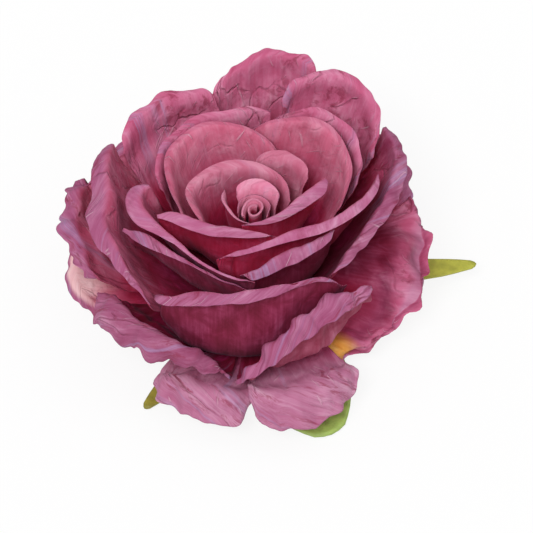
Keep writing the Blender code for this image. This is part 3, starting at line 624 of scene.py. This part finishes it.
def sheet_solid(name, sheet, normal, thickness, across, along, dyes_and_shade, skin, marks_and_sheen=None):
    """A sheet of paper with two faces and a cut edge, as one closed mesh.

    dyes_and_shade: colours of its two faces, painted shade included; marks_and_sheen: how far handling
    has marked each face, and how much painted sheen it takes, 0 to 1
    """
    rows, cols = sheet.shape[:2]
    half = normal * (thickness / 2)
    points = np.concatenate([(sheet + half).reshape(-1, 3), (sheet - half).reshape(-1, 3)])
    index = np.arange(rows * cols).reshape(rows, cols)
    top = np.stack([index[:-1, :-1], index[:-1, 1:], index[1:, 1:], index[1:, :-1]], axis=-1)
    top = top.reshape(-1, 4)
    border = np.concatenate([index[0], index[1:, -1], index[-1, -2::-1], index[-2:0:-1, 0]])
    after = np.roll(border, -1)
    below = rows * cols
    edge = np.stack([border, border + below, after + below, after], axis=-1)
    faces = np.concatenate([top, top[:, ::-1] + below, edge])

    a, b, c = (points[faces[0, k]] for k in range(3))
    if np.dot(np.cross(b - a, c - a), normal.reshape(-1, 3)[faces[0, 0]]) < 0:
        faces = faces[:, ::-1]
    mesh = bpy.data.meshes.new(name)
    mesh.from_pydata((points * MM).tolist(), [], faces.tolist())
    mesh.materials.append(skin)
    mesh.polygons.foreach_set("use_smooth", [True] * len(mesh.polygons))

    # Paper lengths, so that each pattern in the material has its real size.
    paper = mesh.uv_layers.new(name="paper")
    place = np.stack([across.ravel(), along.ravel()], axis=1) * MAP_UNIT
    place = np.concatenate([place, place + BACK_SHIFT])
    corners = np.empty(len(mesh.loops), dtype=np.int32)
    mesh.loops.foreach_get("vertex_index", corners)
    paper.data.foreach_set("uv", place[corners].astype(np.float32).ravel())
    # The colour attribute holds the dye together with the painted shade and highlights, and in its alpha
    # where marks and painted sheen may show.
    dye_and_shade = mesh.color_attributes.new("dye_and_shade", "FLOAT_COLOR", "POINT")
    shade = np.concatenate([np.asarray(face).reshape(-1, 3) for face in dyes_and_shade])
    wear = np.ones(len(shade)) if marks_and_sheen is None else np.concatenate([face.ravel() for face in marks_and_sheen])
    shade = np.concatenate([shade, wear[:, None]], axis=1)
    dye_and_shade.data.foreach_set("color", shade.astype(np.float32).ravel())
    obj = bpy.data.objects.new(name, mesh)
    bpy.context.scene.collection.objects.link(obj)
    return obj


def make_petal(p, skin):
    sheet, normal, across, along, step, look = petal_skin(p)
    # The upper inside and the outside of the lip take dye spots, painted crease shade, painted sheen
    # streaks and pale worn lines with a painted highlight.
    marks_and_sheen = ease(0.55, 0.95, step)
    inside = blend(look["inside"], step)
    outside = blend(look["outside"], step)
    u = np.linspace(-1, 1, sheet.shape[1])
    for code, u0, s0, wide, tall in look["patches"]:
        far = np.hypot((u - u0) / wide, (step - s0) / tall)
        amount = (1 - ease(0.6, 1.1, far))[..., None]
        inside = inside * (1 - amount) + linear(code) * amount
        outside = outside * (1 - amount) + linear(code) * amount
        marks_and_sheen = marks_and_sheen * (1 - 0.8 * amount[..., 0])
    # The grain of a turned lip runs slantwise, because it is rolled with a twist of the fingers.
    past_rim = np.maximum(along - along[np.argmin(np.abs(step[:, 0] - 1))], 0)
    across = across + look["twist"] * past_rim
    # No two petals are cut from the same place of the paper.
    across = across + 31 * petal_number(p)
    along = along + 17 * petal_number(p)
    obj = sheet_solid(p["name"] + "_crepe", sheet, normal, SHEET, across, along, (inside, outside),
                      skin, (marks_and_sheen, ease(0.95, 1.5, step)))
    obj.location.z = PETAL_SEAT * MM
    obj.rotation_euler.z = math.radians(p["foot"][0])
    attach(obj, "root")
    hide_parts(p["name"])


def node(tree, kind, inputs=None, **settings):
    """Adds one node. Inputs are given by name or number, as a value or as the output that feeds it."""
    made = tree.nodes.new("ShaderNode" + kind)
    for name, value in settings.items():
        setattr(made, name, value)
    for place, value in (inputs or {}).items():
        if isinstance(value, bpy.types.NodeSocket):
            tree.links.new(value, made.inputs[place])
        else:
            made.inputs[place].default_value = value
    return made


def new_material(name):
    made = bpy.data.materials.new(name)
    made.use_nodes = True
    made.node_tree.nodes.clear()
    return made, made.node_tree


def crepe_paper(name, sheen_streaks, spots_and_crease_shade, rib_shading):
    """Crepe paper: tissue gathered into fine lengthwise ribs, dyed by hand and stretched until smooth.

    It is matt, with silky lilac streaks of painted sheen where the ribs still show, dark spots of dye,
    painted shade along dark creases and pale lines worn by handling, with a painted highlight.
    The three numbers give the strength of the painted sheen streaks, of the dark spots together with the
    painted crease shade, and of the painted light and shade of the broad ribs.
    """
    made, tree = new_material(name)
    paper = node(tree, "UVMap", uv_map="paper").outputs["UV"]
    # The colour attribute holds the dye with its painted shade, and its alpha where marks and painted
    # sheen may show.
    dye_and_shade_attribute = node(tree, "Attribute", attribute_name="dye_and_shade")
    dye_and_shade, marks_and_sheen_mask = dye_and_shade_attribute.outputs["Color"], dye_and_shade_attribute.outputs["Alpha"]

    def spread(across, along, turn):
        """Places on the paper, turned and then stretched so that 1 is across by along millimetres."""
        return node(tree, "Mapping", {"Vector": paper, "Rotation": (0, 0, turn),
                                      "Scale": (across * MAP_UNIT, along * MAP_UNIT, 1)},
                    vector_type="TEXTURE").outputs[0]

    def noise(across, along, detail, rough=0.5, turn=0.0, warp=0.0):
        """Noise with features of about across by along millimetres, turned by some radians."""
        at = spread(across, along, turn)
        return node(tree, "TexNoise", {"Vector": at, "Scale": 1.0, "Detail": detail, "Roughness": rough,
                                       "Distortion": warp}).outputs["Fac"]

    def between(value, low, high, start=0.0, stop=1.0):
        return node(tree, "MapRange", {"Value": value, "From Min": low, "From Max": high, "To Min": start,
                                       "To Max": stop}, interpolation_type="SMOOTHSTEP").outputs[0]

    def times(first, second):
        return node(tree, "Math", {0: first, 1: second}, operation="MULTIPLY").outputs[0]

    def tinted(colour, tint, share):
        """The colour with a share of a tint laid over it."""
        return node(tree, "Mix", {0: share, 6: colour, 7: rgba(tint)}, data_type="RGBA").outputs[2]

    def creases(across, along, turn, width):
        """Branching lines between cells of about across by along millimetres."""
        at = spread(across, along, turn)
        bent = node(tree, "TexNoise", {"Vector": at, "Scale": 1.4, "Detail": 2.0}).outputs["Color"]
        cells = node(tree, "Mix", {0: 0.4, 6: at, 7: bent}, data_type="RGBA").outputs[2]
        edge = node(tree, "TexVoronoi", {"Vector": cells, "Scale": 1.0},
                    feature="DISTANCE_TO_EDGE").outputs["Distance"]
        return between(edge, 0.0, width, 1.0, 0.0)

    # Ribs of crepe are about 0.5 mm apart. They are drawn 0.8 mm apart so that they show.
    ribs = noise(0.8, 11, 3.0, 0.6)
    clouds = noise(11, 17, 2.0)
    patches = noise(4.5, 6.0, 3.0, 0.6, 0.5, 0.5)
    tone = times(between(clouds, 0.3, 0.7, 0.88, 1.12), between(patches, 0.3, 0.7, 0.86, 1.14))
    tone = times(tone, between(ribs, 0.3, 0.7, 0.93, 1.07))
    # Broad ribs: painted light and shade of soft lengthwise folds, laid into the tone.
    rib_light_and_shade = noise(2.4, 24, 2.0, 0.5, 0.05, 0.3)
    tone = times(tone, between(rib_light_and_shade, 0.3, 0.7, 1 - rib_shading, 1 + rib_shading))
    # A darker tone is also a redder one, as red paper looks in shade.
    depth = node(tree, "Math", {0: 2.0, 1: tone}, operation="SUBTRACT").outputs[0]
    toned = node(tree, "Gamma", {"Color": dye_and_shade, "Gamma": depth}).outputs[0]

    # Spots where the dye ran and gathered, 1 to 2 mm across, in loose groups.
    spotted = between(noise(3.0, 3.8, 4.0, 0.7, 0.3, 0.5), 0.49, 0.64)
    spotted = times(spotted, between(noise(10, 14, 1.0), 0.42, 0.6))
    spotted = times(times(spotted, marks_and_sheen_mask), spots_and_crease_shade)
    # Painted shade along dark branching creases, and sets of short pale lines worn by handling, with a
    # painted highlight along them.
    shaded_creases = times(times(creases(8, 14, 0.5, 0.03), between(clouds, 0.46, 0.58)), marks_and_sheen_mask)
    leaning = between(noise(0.7, 13, 1.0, 0.5, 0.85), 0.66, 0.72)
    leaning = times(leaning, between(noise(6, 8, 1.0), 0.48, 0.58))
    upright = between(noise(0.7, 15, 1.0, 0.5, -0.35), 0.66, 0.72)
    upright = times(upright, between(noise(8, 6, 1.0), 0.48, 0.58))
    pale = node(tree, "Math", {0: leaning, 1: upright}, operation="MAXIMUM").outputs[0]
    pale = times(pale, marks_and_sheen_mask)
    # Painted sheen: silky lilac streaks about 3 mm wide, each made of fine threads.
    threads = between(noise(0.45, 14, 2.0, 0.6, 0.0, 0.2), 0.40, 0.60, 0.25, 1.0)
    sheen_streak = times(between(noise(5.2, 60, 1.0, 0.5, 0.06, 0.4), 0.60, 0.69), threads)
    sheen_streak = times(times(sheen_streak, marks_and_sheen_mask), sheen_streaks)

    # Dye spots, then the painted crease shade, the painted lilac sheen and the pale worn lines with their
    # painted highlight.
    colour = tinted(toned, SPOT_DYE, times(spotted, 0.62))
    colour = tinted(colour, PAINTED_CREASE_SHADE, times(times(shaded_creases, spots_and_crease_shade), 0.32))
    colour = tinted(colour, PAINTED_SHEEN_LILAC, sheen_streak)
    colour = tinted(colour, WORN_PALE_HIGHLIGHT, times(pale, 0.45))

    height = node(tree, "Math", {0: times(ribs, 0.35), 1: times(pale, 0.8)}, operation="ADD").outputs[0]
    height = node(tree, "Math", {0: height, 1: times(shaded_creases, spots_and_crease_shade)}, operation="SUBTRACT").outputs[0]
    height = node(tree, "Math", {0: height, 1: patches}, operation="ADD").outputs[0]
    bump = node(tree, "Bump", {"Height": height, "Strength": 0.6, "Distance": 0.0006}).outputs["Normal"]
    skin = node(tree, "BsdfPrincipled", {
        "Base Color": colour,
        "Roughness": between(sheen_streak, 0.0, 0.4, 0.78, 0.55),
        "Normal": bump,
        "IOR": 1.5,
        "Specular IOR Level": 0.25,
        "Sheen Weight": 0.08,
        "Sheen Roughness": 0.45,
        "Sheen Tint": rgba(SHEEN),
    })
    node(tree, "OutputMaterial", {"Surface": skin.outputs[0]})
    return made


def leaf_cloth(name):
    """Stiffened green leaf cloth: a fine weave pressed between veins, waxy and slightly shiny."""
    made, tree = new_material(name)
    paper = node(tree, "UVMap", uv_map="paper").outputs["UV"]
    dye_and_shade = node(tree, "Attribute", attribute_name="dye_and_shade").outputs["Color"]
    # Side veins about 3 mm apart, and a weave drawn 0.6 mm coarse so that it shows.
    veins_at = node(tree, "Mapping", {"Vector": paper, "Scale": (30, 34, 1),
                                      "Rotation": (0, 0, 0.6)}).outputs[0]
    veins = node(tree, "TexNoise", {"Vector": veins_at, "Scale": 1.0, "Detail": 3.0}).outputs["Fac"]
    weave_at = node(tree, "Mapping", {"Vector": paper, "Scale": (160, 160, 1)}).outputs[0]
    weave = node(tree, "TexNoise", {"Vector": weave_at, "Scale": 1.0, "Detail": 2.0}).outputs["Fac"]
    tone = node(tree, "MapRange", {"Value": veins, "From Min": 0.3, "From Max": 0.7,
                                   "To Min": 0.78, "To Max": 1.2}).outputs[0]
    colour = node(tree, "VectorMath", {0: dye_and_shade, 1: tone}, operation="MULTIPLY").outputs[0]
    relief = node(tree, "Math", {0: veins, 1: weave}, operation="ADD").outputs[0]
    bump = node(tree, "Bump", {"Height": relief, "Strength": 0.4, "Distance": 0.0003}).outputs["Normal"]
    skin = node(tree, "BsdfPrincipled", {"Base Color": colour, "Roughness": 0.5, "Normal": bump,
                                         "IOR": 1.5})
    node(tree, "OutputMaterial", {"Surface": skin.outputs[0]})
    return made


def sepal_outline(turn):
    """Share of a sepal's length at an angle from its midline: a long point over a broad shoulder."""
    turns = [place for place, _ in SEPAL_OUTLINE]
    shares = [share for _, share in SEPAL_OUTLINE]
    return np.interp(abs(turn), turns, shares)


def make_star(skin):
    """The star of sepals, with a channel down the middle of each one and a wavy edge."""
    wide = SEPAL_OUTLINE[-1][0]
    columns = []
    for number, (azimuth, tip, droop, width, _) in enumerate(SEPALS):
        before = SEPALS[number - 1][0] - (360 if number == 0 else 0)
        columns.append(((before + azimuth) / 2, STAR_MIDDLE + STAR_WAIST, droop, tip, 1.0, number))
        edge = STAR_MIDDLE + STAR_WAIST
        for turn in np.linspace(-wide, wide, 29):
            columns.append((azimuth + turn * width, edge + (tip - edge) * sepal_outline(turn), droop,
                            tip, abs(turn) / wide, number))
    shares = np.concatenate([np.linspace(-1, 0, 6)[:-1], np.linspace(0, 1, 26)])
    points, tones = [], []
    for share in shares:
        row, tone = [], []
        for azimuth, edge, droop, tip, side, number in columns:
            if share < 0:
                radius = STAR_MIDDLE * max(1 + share, 0.02)
            else:
                radius = STAR_MIDDLE + (edge - STAR_MIDDLE) * share
            part = max(0.0, min(1, 1.25 * (radius - STAR_MIDDLE) / (tip - STAR_MIDDLE)))
            turn = math.radians(azimuth)
            out = max(radius - STAR_MIDDLE, 0) / (tip - STAR_MIDDLE)
            channel = 0.5 * side * math.sin(math.pi * min(out, 1))
            lift = channel + 0.25 * side * math.sin(radius * 0.9 + 2 * number)
            row.append((radius * math.cos(turn), radius * math.sin(turn),
                        -droop * math.sin(math.pi / 2 * part) ** 1.3 + lift))
            base = linear(SEPALS[number][-1])
            # Each sepal is painted darker along its channel towards the tip, as shade in the channel.
            tone.append(base * (1 - 0.25 * (1 - side) * min(2 * out, 1)))
        row.append(row[0])
        tone.append(tone[0])
        points.append(row)
        tones.append(tone)
    sheet, tones = np.array(points), np.array(tones)
    normal = np.zeros_like(sheet)
    normal[..., 2] = 1
    # The underside is a darker copy of the top: painted shade.
    obj = sheet_solid("sepal_star_leaf", sheet, normal, STAR_PAPER, sheet[..., 0], sheet[..., 1],
                      (tones, tones * 0.8), skin)
    obj.location.z = STAR_SEAT * MM
    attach(obj, "root")
    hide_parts("sepal_star")


def make_heart(skin):
    """The rolled strip of crepe in the middle of the bud, a loose coil with a thick, soft top edge."""
    angle = np.linspace(0, 2 * math.pi * HEART_TURNS, 160)
    share = angle / angle[-1]
    radius = HEART_EYE + (CORE_NECK - HEART_EYE) * share
    levels = np.concatenate([np.linspace(0, 0.9, 20), np.linspace(0.9, 1, 14)[1:]])
    sheet = np.empty((len(levels), len(angle), 3))
    # The coil is pinched oval by the fingers that rolled it.
    pinch = 1 + HEART_PINCH * np.cos(2 * angle - 2.6)
    for k, level in enumerate(levels):
        flare = 0.7 * ease(0.95, 1.0, level)
        reach = radius * pinch * (1 + 0.12 * math.sin(math.pi * min(level / 0.9, 1))) + flare * share
        top = CORE_HEIGHT + 2.4 - 0.8 * share + 0.2 * np.sin(2.5 * angle)
        sheet[k] = np.stack([reach * np.cos(angle), reach * np.sin(angle), top * level], axis=1)
    normal = np.stack([-np.cos(angle), -np.sin(angle), np.zeros_like(angle)], axis=1)
    normal = np.broadcast_to(normal, sheet.shape)
    across = np.broadcast_to(angle * radius, sheet.shape[:2])
    along = np.broadcast_to((levels * CORE_HEIGHT)[:, None], sheet.shape[:2])
    step = np.broadcast_to(levels[:, None], sheet.shape[:2])
    # The coil is dark up most of its height and pink at its top edge: painted shade down inside the coil.
    dye_and_shade = blend(((0, MAROON), (0.86, MAROON), (0.94, CRIMSON), (0.975, SOFT_PINK), (1, SOFT_PINK)), step)
    obj = sheet_solid("bud_heart", sheet, normal, HEART_STRIP, across, along, (dye_and_shade, dye_and_shade), skin)
    bevel = obj.modifiers.new("rounded edge", "BEVEL")
    bevel.width = 0.2 * MM
    bevel.segments = 3
    bevel.limit_method = "ANGLE"
    bevel.angle_limit = math.radians(60)
    obj.location.z = PETAL_SEAT * MM
    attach(obj, "root")
    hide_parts("bud_core")


def make_base(skin):
    """The cup under the sepals, wrapped round and round with a strip of green crepe."""
    steps = 128
    profile = np.array(((0.0, 0.0), (BASE_FOOT, 0.0), (0.92 * BASE_RADIUS, 0.2 * BASE_HEIGHT),
                        (BASE_RADIUS, 0.55 * BASE_HEIGHT), (0.98 * BASE_RADIUS, 0.86 * BASE_HEIGHT),
                        (0.92 * BASE_RADIUS, BASE_HEIGHT), (0.0, BASE_HEIGHT)))
    length = np.concatenate([[0], np.cumsum(np.linalg.norm(np.diff(profile, axis=0), axis=1))])
    at = np.unique(np.concatenate([np.linspace(0, length[-1], 70), length]))
    radius = np.interp(at, length, profile[:, 0])
    height = np.interp(at, length, profile[:, 1])
    turns = np.linspace(0, 2 * math.pi, steps + 1)
    wraps = 0.18 * np.abs(np.sin(math.pi * (height[:, None] / 2.6 + turns / (2 * math.pi))))
    ruck = 0.06 * np.sin(37 * turns) * np.ones_like(wraps)
    on_wall = (ease(0.0, 0.6, height) * (1 - ease(BASE_HEIGHT - 0.6, BASE_HEIGHT, height)))[:, None]
    reach = radius[:, None] - (wraps + ruck) * on_wall
    inner = np.maximum(reach, 0.02)
    sheet = np.stack([inner * np.cos(turns), inner * np.sin(turns),
                      height[:, None] * np.ones_like(inner)], axis=-1)
    add_turned("base_wrap", sheet, skin)


def add_turned(name, sheet, skin):
    """A closed body of revolution from rows of points, with its first and last rows on the axis."""
    rows, cols = sheet.shape[0], sheet.shape[1] - 1
    ring = sheet[1:-1, :-1].reshape(-1, 3)
    points = np.concatenate([ring, [[0, 0, sheet[0, 0, 2]]], [[0, 0, sheet[-1, 0, 2]]]])
    index = np.arange(len(ring)).reshape(rows - 2, cols)
    right = np.roll(index, -1, axis=1)
    faces = np.stack([index[:-1], right[:-1], right[1:], index[1:]], axis=-1).reshape(-1, 4).tolist()
    bottom, top = len(ring), len(ring) + 1
    faces += [(bottom, right[0, k], index[0, k]) for k in range(cols)]
    faces += [(top, index[-1, k], right[-1, k]) for k in range(cols)]
    mesh = bpy.data.meshes.new(name)
    mesh.from_pydata((points * MM).tolist(), [], [tuple(int(v) for v in face) for face in faces])
    mesh.materials.append(skin)
    mesh.polygons.foreach_set("use_smooth", [True] * len(mesh.polygons))
    paper = mesh.uv_layers.new(name="paper")
    corners = np.empty(len(mesh.loops), dtype=np.int32)
    mesh.loops.foreach_get("vertex_index", corners)
    turn = np.arctan2(points[:, 1], points[:, 0]) * BASE_RADIUS
    # The strip is wrapped round the cup, so its veins run round it too, four times as close.
    place = np.stack([points[:, 2] * 4, turn], axis=1) * MAP_UNIT
    paper.data.foreach_set("uv", place[corners].astype(np.float32).ravel())
    dye_and_shade = mesh.color_attributes.new("dye_and_shade", "FLOAT_COLOR", "POINT")
    dye_and_shade.data.foreach_set("color", np.tile(rgba(BASE_DYE), len(points)).astype(np.float32))
    obj = bpy.data.objects.new(name, mesh)
    bpy.context.scene.collection.objects.link(obj)
    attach(obj, "root")
    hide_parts("base_cup")


def make_stage():
    """Pale floor and soft daylight from above."""
    made, tree = new_material("pale floor")
    card = node(tree, "BsdfDiffuse", {"Color": rgba("#FAFAFA")})
    white = node(tree, "Emission", {"Color": (1, 1, 1, 1), "Strength": 1.0})
    rays = node(tree, "LightPath").outputs
    seen = rays["Is Camera Ray"]
    for ray in ("Is Glossy Ray", "Is Transmission Ray"):
        seen = node(tree, "Math", {0: seen, 1: rays[ray]}, operation="MAXIMUM").outputs[0]
    share = node(tree, "Math", {0: seen, 1: WHITE_SHARE}, operation="MULTIPLY").outputs[0]
    skin = node(tree, "MixShader", {0: share, 1: card.outputs[0], 2: white.outputs[0]})
    node(tree, "OutputMaterial", {"Surface": skin.outputs[0]})
    mesh = bpy.data.meshes.new("floor")
    mesh.from_pydata([(-3, -3, 0), (3, -3, 0), (3, 3, 0), (-3, 3, 0)], [], [(0, 1, 2, 3)])
    mesh.materials.append(made)
    floor = bpy.data.objects.new("floor", mesh)
    bpy.context.scene.collection.objects.link(floor)

    scene = bpy.context.scene
    world = bpy.data.worlds.new("soft daylight")
    scene.world = world
    world.use_nodes = True
    world.node_tree.nodes.clear()
    tree = world.node_tree
    camera_ray = node(tree, "LightPath").outputs["Is Camera Ray"]
    strength = node(tree, "MapRange", {"Value": camera_ray, "To Min": SKY, "To Max": 1.0}).outputs[0]
    sky = node(tree, "Background", {"Color": (1, 1, 1, 1), "Strength": strength})
    node(tree, "OutputWorld", {"Surface": sky.outputs[0]})

    for name, energy, spread, tilt in LAMPS:
        lamp = bpy.data.lights.new(name, "SUN")
        lamp.energy = energy
        lamp.angle = math.radians(spread)
        obj = bpy.data.objects.new(name, lamp)
        obj.rotation_euler = [math.radians(angle) for angle in tilt]
        scene.collection.objects.link(obj)
    scene.view_settings.view_transform = "Standard"


def make_camera():
    """The camera at the photograph's angle, with the flower where it is in the photograph."""
    height = math.radians(LOOK_DOWN)
    towards = Vector((0, -math.cos(height), math.sin(height)))
    right = Vector((1, 0, 0))
    up = Vector((0, math.sin(height), math.cos(height)))
    middle = right * ((PICTURE / 2 - AXIS_AT[0]) * PIXEL) + up * ((AXIS_AT[1] - PICTURE / 2) * PIXEL)
    camera = bpy.data.cameras.new("camera")
    camera.sensor_width = 36
    camera.lens = camera.sensor_width * (CAMERA_AWAY - MIDDLE_HEIGHT) / (PICTURE * PIXEL)
    camera.clip_start = 0.01
    obj = bpy.data.objects.new("camera", camera)
    obj.location = middle + towards * CAMERA_AWAY
    obj.rotation_euler = towards.to_track_quat("Z", "Y").to_euler()
    bpy.context.scene.collection.objects.link(obj)
    bpy.context.scene.camera = obj


make_camera()
make_stage()
bud_crepe = crepe_paper("smooth bud crepe", sheen_streaks=0.12, spots_and_crease_shade=0.4, rib_shading=0.03)
petal_crepe = crepe_paper("dyed petal crepe", sheen_streaks=0.42, spots_and_crease_shade=1.0, rib_shading=0.06)
for row in PETALS:
    make_petal(row, bud_crepe if row["ring"] < OUTER_RING else petal_crepe)
make_heart(bud_crepe)
make_star(leaf_cloth("pressed leaf cloth"))
make_base(leaf_cloth("green crepe strip"))
